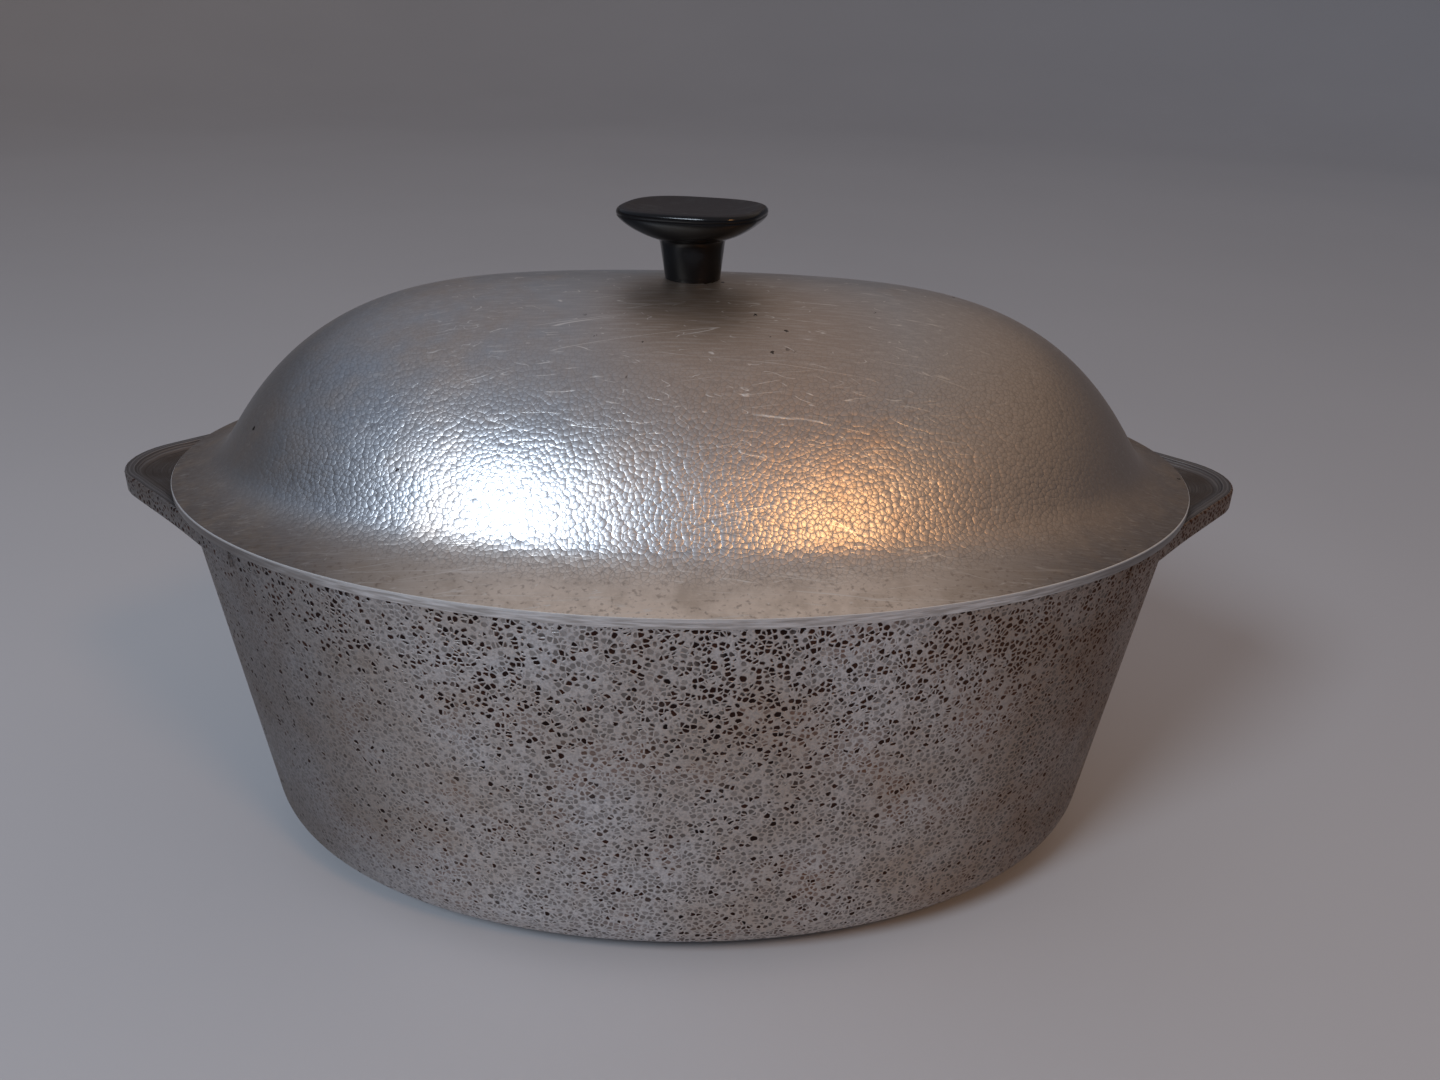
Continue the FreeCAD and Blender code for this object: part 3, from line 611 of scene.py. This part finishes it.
# grease baked on in front of the knob
baked = add(tree, "VectorMath", {0: skin, 1: (4 * MM, -20 * MM, 215 * MM)}, operation="DISTANCE")
baked = add(tree, "MapRange", {0: baked.outputs["Value"], 1: 40 * MM, 2: 14 * MM, 4: 0.5},
            interpolation_type="SMOOTHSTEP").outputs[0]
metal = add(tree, "Mix", {0: baked, 6: metal, 7: linear("#85745f")}, data_type="RGBA").outputs[2]
# painted shade: the dome is darker towards both ends
dome_end_shade = add(tree, "Math", {0: ends, 1: 0.30}, operation="MULTIPLY").outputs[0]
metal = add(tree, "Mix", {0: dome_end_shade, 6: metal, 7: linear("#746d69")}, data_type="RGBA").outputs[2]
# the flange: a painted highlight in the middle of its length and painted shade towards both ends,
# with blotches and flecks of grime
along = add(tree, "MapRange", {0: away, 1: 35 * MM, 2: 130 * MM},
            interpolation_type="SMOOTHSTEP").outputs[0]
flange_light_and_grime = add(tree, "Mix", {0: along, 6: linear("#efe2d4"), 7: linear("#6b6562")}, data_type="RGBA").outputs[2]
mottle = add(tree, "TexNoise", {"Vector": place, "Scale": 1 / (13 * MM), "Detail": 6.0, "Roughness": 0.7})
mottle = add(tree, "MapRange", {0: mottle.outputs[0], 1: 0.44, 2: 0.66, 4: 0.42}).outputs[0]
flange_light_and_grime = add(tree, "Mix", {0: mottle, 6: flange_light_and_grime, 7: linear("#94836f")}, data_type="RGBA").outputs[2]
fleck = add(tree, "TexNoise", {"Vector": place, "Scale": 1 / (1.7 * MM), "Detail": 3.0}).outputs[0]
fleck = add(tree, "MapRange", {0: fleck, 1: 0.57, 2: 0.70, 4: 0.45}).outputs[0]
flange_light_and_grime = add(tree, "Mix", {0: fleck, 6: flange_light_and_grime, 7: linear("#5c4a3e")}, data_type="RGBA").outputs[2]
metal = add(tree, "Mix", {0: flange_film, 6: metal, 7: flange_light_and_grime}, data_type="RGBA").outputs[2]
# fine lines drawn along the crown by years of wiping
lay = add(tree, "Mapping", {"Vector": place, "Scale": (11 * MM, 0.7 * MM, 0.7 * MM)}, vector_type="TEXTURE")
wiped = add(tree, "TexNoise", {"Vector": lay.outputs[0], "Scale": 1.0, "Detail": 3.0}).outputs[0]
wiped = add(tree, "MapRange", {0: wiped, 1: 0.46, 2: 0.66}).outputs[0]
flat = add(tree, "MapRange", {0: crown, 3: 0.24, 4: 0.08}).outputs[0]
wiped = add(tree, "Math", {0: wiped, 1: flat}, operation="MULTIPLY").outputs[0]
metal = add(tree, "Mix", {0: wiped, 6: metal, 7: linear("#cfccc9")}, data_type="RGBA").outputs[2]
# the seams between pebbles are a little darker
seam = add(tree, "Math", {0: seam, 1: cover}, operation="MULTIPLY").outputs[0]
seam = add(tree, "Math", {0: seam, 1: 0.4}, operation="MULTIPLY").outputs[0]
metal = add(tree, "Mix", {0: seam, 6: metal, 7: linear("#6f6a67")}, data_type="RGBA").outputs[2]
# hairline scratches: thin lines where a cloud drawn out far longer than wide passes its middle tone, broken
# up by a second cloud, in three directions on the dome and two on the flange
scratch = 0.0
for turn, yaw, seed, gap, where in ((0.42, 0.0, 0.31, 0.57, 1.0), (0.07, -0.06, 0.74, 0.57, 1.0),
                                    (-0.12, 0.16, 0.13, 0.57, 1.0), (0.02, 0.10, 0.55, 0.50, flange_film),
                                    (-0.04, -0.05, 0.92, 0.50, flange_film)):
    lay = add(tree, "Mapping", {"Vector": place, "Location": (seed, seed, seed), "Rotation": (0.0, turn, yaw),
                                "Scale": (150 * MM, 4 * MM, 4 * MM)}, vector_type="TEXTURE")
    line = add(tree, "TexNoise", {"Vector": lay.outputs[0], "Scale": 1.0, "Detail": 1.0})
    line = add(tree, "Math", {0: line.outputs[0], 1: 0.5}, operation="SUBTRACT").outputs[0]
    line = add(tree, "Math", {0: line}, operation="ABSOLUTE").outputs[0]
    line = add(tree, "MapRange", {0: line, 1: 0.012, 2: 0.003}).outputs[0]
    cloud = add(tree, "TexNoise", {"Vector": lay.outputs[0], "Scale": 1.7, "Detail": 2.0})
    cloud = add(tree, "MapRange", {0: cloud.outputs[0], 1: gap, 2: gap + 0.07}).outputs[0]
    line = add(tree, "Math", {0: line, 1: cloud}, operation="MULTIPLY").outputs[0]
    line = add(tree, "Math", {0: line, 1: where}, operation="MULTIPLY").outputs[0]
    scratch = add(tree, "Math", {0: scratch, 1: line}, operation="MAXIMUM").outputs[0]
handled = add(tree, "MapRange", {0: along, 3: 0.75, 4: 0.12}).outputs[0]
bright = add(tree, "Math", {0: scratch, 1: handled}, operation="MULTIPLY").outputs[0]
metal = add(tree, "Mix", {0: bright, 6: metal, 7: linear("#e2dfda")}, data_type="RGBA").outputs[2]
# a few burnt specks, and a cluster of small ones in front of the knob
cluster = add(tree, "VectorMath", {0: place, 1: (0.0, -34 * MM, 212 * MM)}, operation="DISTANCE")
cluster = add(tree, "MapRange", {0: cluster.outputs["Value"], 1: 36 * MM, 2: 30 * MM}).outputs[0]
for spacing, radius, share, where in ((15 * MM, 0.050, 0.32, 1.0), (5 * MM, 0.14, 0.22, cluster)):
    speck = add(tree, "TexVoronoi", {"Vector": place, "Scale": 1 / spacing})
    some = add(tree, "SeparateColor", {0: speck.outputs["Color"]})
    some = add(tree, "MapRange", {0: some.outputs[0], 1: share + 0.02, 2: share - 0.02}).outputs[0]
    speck = add(tree, "Math", {0: grain.outputs[0], 1: 2.5 * radius, 2: speck.outputs["Distance"]},
                operation="MULTIPLY_ADD").outputs[0]
    speck = add(tree, "MapRange", {0: speck, 1: 2.3 * radius, 2: 2.1 * radius}).outputs[0]
    speck = add(tree, "Math", {0: speck, 1: some}, operation="MULTIPLY").outputs[0]
    speck = add(tree, "Math", {0: speck, 1: where}, operation="MULTIPLY").outputs[0]
    metal = add(tree, "Mix", {0: speck, 6: metal, 7: linear("#1d1614")}, data_type="RGBA").outputs[2]
dull = add(tree, "MapRange", {0: film, 3: 0.43, 4: 0.51}).outputs[0]
dull = add(tree, "Math", {0: flange_film, 1: 0.17, 2: dull}, operation="MULTIPLY_ADD").outputs[0]
dull = add(tree, "Math", {0: ends, 1: 0.10, 2: dull}, operation="MULTIPLY_ADD").outputs[0]
dull = add(tree, "Math", {0: crown, 1: -0.12, 2: dull}, operation="MULTIPLY_ADD").outputs[0]
height = add(tree, "Math", {0: scratch, 1: 0.015, 2: height}, operation="MULTIPLY_ADD").outputs[0]
relief = add(tree, "Bump", {"Strength": 1.0, "Distance": MM, "Height": height}).outputs[0]
shader = add(tree, "BsdfPrincipled", {"Base Color": metal, "Metallic": 1.0, "Roughness": dull,
                                      "Normal": relief})
add(tree, "OutputMaterial", {"Surface": shader.outputs[0]})

# The edge band is turned. It is darker towards both ends, and its upper edge carries a painted highlight.
lid_band, tree = new_finish("turned_aluminium_band")
place = add(tree, "TexCoord").outputs["Object"]
lay = add(tree, "Mapping", {"Vector": place, "Scale": (1 / (9 * MM), 1 / (9 * MM), 1 / (0.7 * MM))})
wear = add(tree, "TexNoise", {"Vector": lay.outputs[0], "Scale": 1.0, "Detail": 4.0}).outputs[0]
wear = add(tree, "MapRange", {0: wear, 1: 0.38, 2: 0.64}).outputs[0]
metal = add(tree, "Mix", {0: wear, 6: linear("#e8e7e7"), 7: linear("#b8b4b1")}, data_type="RGBA").outputs[2]
spot = add(tree, "SeparateXYZ", {0: place})
ends = add(tree, "Math", {0: spot.outputs["X"]}, operation="ABSOLUTE").outputs[0]
ends = add(tree, "MapRange", {0: ends, 1: 80 * MM, 2: 150 * MM, 4: 0.9},
           interpolation_type="SMOOTHSTEP").outputs[0]
metal = add(tree, "Mix", {0: ends, 6: metal, 7: linear("#6f6a68")}, data_type="RGBA").outputs[2]
# a painted highlight along the band's upper edge
arris_highlight = add(tree, "MapRange", {0: spot.outputs["Z"], 1: 149.2 * MM, 2: 149.7 * MM}).outputs[0]
metal = add(tree, "Mix", {0: arris_highlight, 6: metal, 7: linear("#f0f0f0")}, data_type="RGBA").outputs[2]
shader = add(tree, "BsdfPrincipled", {"Base Color": metal, "Metallic": 1.0, "Roughness": 0.38})
add(tree, "OutputMaterial", {"Surface": shader.outputs[0]})

lid = finish_piece(lid_mesh, "lid_casting", [lid_cast, pot_inside, lid_band])
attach(lid, "lid")
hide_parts("lid_shell")


# ---------------------------------------------------------------- knob
# One phenolic moulding: a round tapered stem that spreads to an oblong head with a double bead round its
# edge and a shallow thumb dish on top. It is turned a little against the lid.

KNOB_TURN = math.radians(-20.0)
KNOB_LEAN = math.radians(-1.4)
KNOB_OFFSET = 0.7
KNOB_COLUMNS = 96
KNOB_TOP = 242.3
SEAT_Z = 216.9
STEM_BASE = 9.5
STEM_TOP = 11.15
STEM_TOP_Z = 230.0
NECK = (12.3, 12.0, 231.8)               # half length, half width and height where stem meets head
BEAD = (25.05, 18.85, 239.45)            # the lower bead round the head's edge
HEAD = (25.2, 19.0, 240.15)              # the upper bead, which is the widest
LIP = (22.7, 16.5)                       # the highest line, round the dish
DISH_Z = 239.9
SQUARE = 2.9                             # how squared the head's outline is; 2 is a plain ellipse
UNDERSIDE = 2.0 / 1.35                   # 1 would be an arc and 2 a cone


def knob_sections():
    """Half length, half width, squareness and height of each section, from the seat up and into the dish."""
    sections = [(STEM_BASE - 0.2, STEM_BASE - 0.2, 2.0, SEAT_Z)]
    for step in range(6):
        radius = mix(STEM_BASE, STEM_TOP, step / 5)
        sections.append((radius, radius, 2.0, mix(SEAT_Z + 0.5, STEM_TOP_Z, step / 5)))
    sections.append((mix(STEM_TOP, NECK[0], 0.4), mix(STEM_TOP, NECK[1], 0.4), 2.0,
                     mix(STEM_TOP_Z, NECK[2], 0.68)))
    for step in range(14):
        angle = math.radians(90.0 * step / 13)
        out, rise = math.sin(angle) ** UNDERSIDE, 1.0 - max(0.0, math.cos(angle)) ** UNDERSIDE
        sections.append((mix(NECK[0], BEAD[0], out), mix(NECK[1], BEAD[1], out), mix(2.0, SQUARE, out),
                         mix(NECK[2], BEAD[2], rise)))
    for inset, part in ((0.3, 0.4), (0.25, 0.7), (0.0, 1.0)):
        sections.append((HEAD[0] - inset, HEAD[1] - inset, SQUARE, mix(BEAD[2], HEAD[2], part)))
    for step in range(7):
        angle = math.radians(90.0 * step / 6)
        sections.append((mix(LIP[0], HEAD[0], math.cos(angle)), mix(LIP[1], HEAD[1], math.cos(angle)), SQUARE,
                         mix(HEAD[2] + 0.45, KNOB_TOP, math.sin(angle))))
    for part in (0.96, 0.9, 0.82, 0.72, 0.6, 0.45, 0.25):
        sections.append((LIP[0] * part, LIP[1] * part ** 1.35, mix(2.0, SQUARE, part),
                         mix(DISH_Z, KNOB_TOP, part ** 3.3)))
    return sections


def squared(angle, half_length, half_width, power, z):
    """A place on an oval that is squared off by its power; 2 is a plain ellipse."""
    c, s = math.cos(angle), math.sin(angle)
    return Vector((half_length * math.copysign(abs(c) ** (2.0 / power), c),
                   half_width * math.copysign(abs(s) ** (2.0 / power), s), z))


knob_mesh = bmesh.new()
round_of = knob_mesh.verts.layers.float.new("round")
made = bmesh.ops.create_circle(knob_mesh, cap_ends=True, segments=KNOB_COLUMNS, radius=1.0)
ring_verts, ring_edges = made["verts"], list(knob_mesh.edges)
for vert in ring_verts:
    vert[round_of] = math.atan2(vert.co.y, vert.co.x)
for step, section in enumerate(knob_sections()):
    if step:
        made = bmesh.ops.extrude_edge_only(knob_mesh, edges=ring_edges)["geom"]
        ring_verts = [part for part in made if isinstance(part, bmesh.types.BMVert)]
        ring_edges = [part for part in made if isinstance(part, bmesh.types.BMEdge)
                      and part.verts[0] in ring_verts and part.verts[1] in ring_verts]
    for vert in ring_verts:
        vert.co = squared(vert[round_of], *section)
bmesh.ops.pointmerge(knob_mesh, verts=ring_verts, merge_co=(0.0, 0.0, DISH_Z))
bmesh.ops.rotate(knob_mesh, verts=list(knob_mesh.verts), cent=(0, 0, 0),
                 matrix=Matrix.Rotation(KNOB_TURN, 3, "Z"))
# its screw pulls it a little out of upright
bmesh.ops.rotate(knob_mesh, verts=list(knob_mesh.verts), cent=(0, 0, CROWN_Z),
                 matrix=Matrix.Rotation(KNOB_LEAN, 3, "Y"))
over = max(vert.co.z for vert in knob_mesh.verts) - KNOB_TOP
bmesh.ops.translate(knob_mesh, verts=list(knob_mesh.verts), vec=(KNOB_OFFSET, 0.0, -over))

# Black phenolic as it leaves a polished mould: deep gloss on the stem and the beads. The thumb dish has gone
# dull and brown-black with wear. Its fine scuffs are drawn coarser, or they would not show.
knob_black, tree = new_finish("phenolic_black")
place = add(tree, "TexCoord").outputs["Object"]
facing = add(tree, "SeparateXYZ", {0: add(tree, "NewGeometry").outputs["Normal"]})
top = add(tree, "MapRange", {0: facing.outputs["Z"], 1: 0.80, 2: 0.96},
          interpolation_type="SMOOTHSTEP").outputs[0]
cloud = add(tree, "TexNoise", {"Vector": place, "Scale": 1 / (7 * MM), "Detail": 5.0})
rubbed = add(tree, "Math", {0: top, 1: cloud.outputs[0]}, operation="MULTIPLY").outputs[0]
rubbed = add(tree, "MapRange", {0: rubbed, 1: 0.05, 2: 0.5}).outputs[0]
body = add(tree, "Mix", {0: rubbed, 6: linear("#0d0d0f"), 7: linear("#211e20")}, data_type="RGBA").outputs[2]
dull = add(tree, "MapRange", {0: rubbed, 3: 0.13, 4: 0.55}).outputs[0]
scuff = add(tree, "TexNoise", {"Vector": place, "Scale": 1 / (0.7 * MM), "Detail": 3.0})
relief = add(tree, "Bump", {"Strength": 0.25, "Distance": 0.05 * MM, "Height": scuff.outputs[0]}).outputs[0]
shader = add(tree, "BsdfPrincipled", {"Base Color": body, "Roughness": dull, "Specular IOR Level": 0.22,
                                      "Normal": relief})
add(tree, "OutputMaterial", {"Surface": shader.outputs[0]})
knob = finish_piece(knob_mesh, "knob_moulding", [knob_black], 60.0)
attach(knob, "lid")
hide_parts("lid_knob")


# ---------------------------------------------------------------- knob's fixing
# A brass bush moulded into the stem takes a slotted steel screw from inside the lid, with a flat washer and
# a split spring washer under its head.
# Turned brass, tarnished in soft clouds.
brass, tree = new_finish("brass_bush")
place = add(tree, "TexCoord").outputs["Object"]
tarnish = add(tree, "TexNoise", {"Vector": place, "Scale": 1 / (3 * MM), "Detail": 4.0})
metal = add(tree, "Mix", {0: tarnish.outputs[0], 6: linear("#c9a65a"), 7: linear("#8a6b35")},
            data_type="RGBA").outputs[2]
shader = add(tree, "BsdfPrincipled", {"Base Color": metal, "Metallic": 1.0, "Roughness": 0.34})
add(tree, "OutputMaterial", {"Surface": shader.outputs[0]})

# Steel with a bright zinc plating that has bloomed dull and a little yellow.
zinc, tree = new_finish("zinc_plated_steel")
place = add(tree, "TexCoord").outputs["Object"]
bloom = add(tree, "TexNoise", {"Vector": place, "Scale": 1 / (2 * MM), "Detail": 5.0})
bloom = add(tree, "MapRange", {0: bloom.outputs[0], 1: 0.4, 2: 0.7}).outputs[0]
metal = add(tree, "Mix", {0: bloom, 6: linear("#b9bcbd"), 7: linear("#8d8a80")}, data_type="RGBA").outputs[2]
dull = add(tree, "MapRange", {0: bloom, 3: 0.28, 4: 0.5}).outputs[0]
shader = add(tree, "BsdfPrincipled", {"Base Color": metal, "Metallic": 1.0, "Roughness": dull})
add(tree, "OutputMaterial", {"Surface": shader.outputs[0]})

for name, finish in (("knob_insert", brass), ("knob_screw", zinc), ("knob_washer", zinc),
                     ("knob_lock_washer", zinc)):
    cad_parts[name].data.materials.clear()
    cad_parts[name].data.materials.append(finish)


# ---------------------------------------------------------------- trivet
# A loose plate pressed from aluminium sheet, with drain holes, a turned-down edge and four cupped feet, to
# keep the roast off the floor. The sheet keeps its rolled grain along its length, drawn coarser here so that
# it shows, and has dulled and stained with use.
sheet, tree = new_finish("rolled_aluminium_sheet")
place = add(tree, "TexCoord").outputs["Object"]
lay = add(tree, "Mapping", {"Vector": place, "Scale": (1 / (30 * MM), 1 / (0.8 * MM), 1 / (0.8 * MM))})
rolled = add(tree, "TexNoise", {"Vector": lay.outputs[0], "Scale": 1.0, "Detail": 4.0})
stain = add(tree, "TexNoise", {"Vector": place, "Scale": 1 / (30 * MM), "Detail": 6.0})
stain = add(tree, "MapRange", {0: stain.outputs[0], 1: 0.45, 2: 0.72}).outputs[0]
metal = add(tree, "Mix", {0: stain, 6: linear("#bfbfbe"), 7: linear("#988d80")}, data_type="RGBA").outputs[2]
dull = add(tree, "MapRange", {0: rolled.outputs[0], 3: 0.26, 4: 0.42}).outputs[0]
relief = add(tree, "Bump", {"Strength": 0.5, "Distance": 0.03 * MM, "Height": rolled.outputs[0]}).outputs[0]
shader = add(tree, "BsdfPrincipled", {"Base Color": metal, "Metallic": 1.0, "Roughness": dull,
                                      "Normal": relief})
add(tree, "OutputMaterial", {"Surface": shader.outputs[0]})
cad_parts["trivet"].data.materials.clear()
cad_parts["trivet"].data.materials.append(sheet)


# ---------------------------------------------------------------- setting
# A plain pale floor that curves up far behind, a cool round softbox to the left, a small warm one to the
# right, and the camera at the height and distance of someone standing at the table. Sizes are in metres.
# Matt paint, very slightly uneven.
matte, tree = new_finish("pale_floor")
place = add(tree, "TexCoord").outputs["Object"]
mottle = add(tree, "TexNoise", {"Vector": place, "Scale": 3.0, "Detail": 2.0})
tone = add(tree, "Mix", {0: mottle.outputs[0], 6: linear("#a3a4a8"), 7: linear("#a9aaae")},
           data_type="RGBA").outputs[2]
shader = add(tree, "BsdfPrincipled", {"Base Color": tone, "Roughness": 0.6})
add(tree, "OutputMaterial", {"Surface": shader.outputs[0]})
floor_mesh = bmesh.new()
bmesh.ops.create_circle(floor_mesh, cap_ends=True, segments=96, radius=2.6)
rim_edges = list(floor_mesh.edges)
for radius, z in ((2.9, 0.03), (3.2, 0.13), (3.45, 0.31), (3.6, 0.55), (3.7, 0.9), (3.75, 1.6)):
    made = bmesh.ops.extrude_edge_only(floor_mesh, edges=rim_edges)["geom"]
    rim_verts = [part for part in made if isinstance(part, bmesh.types.BMVert)]
    rim_edges = [part for part in made if isinstance(part, bmesh.types.BMEdge)
                 and part.verts[0] in rim_verts and part.verts[1] in rim_verts]
    grow = radius / math.hypot(rim_verts[0].co.x, rim_verts[0].co.y)
    bmesh.ops.scale(floor_mesh, vec=(grow, grow, 1.0), verts=rim_verts)
    for vert in rim_verts:
        vert.co.z = z
bmesh.ops.recalc_face_normals(floor_mesh, faces=list(floor_mesh.faces))
bmesh.ops.reverse_faces(floor_mesh, faces=[face for face in floor_mesh.faces if face.normal.z < 0.0])
data = bpy.data.meshes.new("floor")
floor_mesh.to_mesh(data)
floor_mesh.free()
data.shade_smooth()
data.materials.append(matte)
floor = bpy.data.objects.new("floor", data)
bpy.context.scene.collection.objects.link(floor)

for name, stand, aim, size, power, colour in (
        ("window", (-0.70, -0.92, 1.12), (-0.05, -0.06, 0.16), 0.44, 13.6, (0.77, 0.88, 1.0)),
        ("lamp", (0.54, -0.92, 1.14), (0.04, -0.06, 0.16), 0.26, 3.6, (1.0, 0.50, 0.19))):
    light = bpy.data.lights.new(name, "AREA")
    light.shape = "DISK"
    light.size = size
    light.energy = power
    light.color = colour
    softbox = bpy.data.objects.new(name, light)
    softbox.location = stand
    softbox.rotation_euler = (Vector(aim) - Vector(stand)).to_track_quat("-Z", "Y").to_euler()
    bpy.context.scene.collection.objects.link(softbox)

# the room: dim round the walls, lighter overhead, cool on the window's side and warm on the lamp's
world = bpy.data.worlds.new("room")
world.use_nodes = True
tree = world.node_tree
tree.nodes.clear()
way = add(tree, "SeparateXYZ", {0: add(tree, "TexCoord").outputs["Generated"]})
side = add(tree, "MapRange", {0: way.outputs["X"], 1: -0.8, 2: 0.8}).outputs[0]
tint = add(tree, "Mix", {0: side, 6: (0.82, 0.94, 1.18, 1.0), 7: (1.20, 0.95, 0.76, 1.0)},
           data_type="RGBA").outputs[2]
level = add(tree, "MapRange", {0: way.outputs["Z"], 1: 0.0, 2: 0.9, 3: 0.165, 4: 0.40},
            interpolation_type="SMOOTHSTEP").outputs[0]
room = add(tree, "Background", {"Color": tint, "Strength": level})
add(tree, "OutputWorld", {"Surface": room.outputs[0]})
bpy.context.scene.world = world

CAMERA_PLACE = (-0.00153, -0.4023, 0.30895)
CAMERA_PAN = -0.036
CAMERA_DOWN = math.radians(25.55)
CAMERA_ROLL = math.radians(1.78)
lens = bpy.data.cameras.new("camera")
lens.lens = 29.0
lens.sensor_width = 36.0
camera = bpy.data.objects.new("camera", lens)
turn = (Matrix.Rotation(CAMERA_PAN, 4, "Z") @ Matrix.Rotation(math.radians(90.0) - CAMERA_DOWN, 4, "X")
        @ Matrix.Rotation(CAMERA_ROLL, 4, "Z"))
camera.matrix_world = Matrix.Translation(CAMERA_PLACE) @ turn
bpy.context.scene.collection.objects.link(camera)
bpy.context.scene.camera = camera
bpy.context.scene.view_settings.view_transform = "Standard"
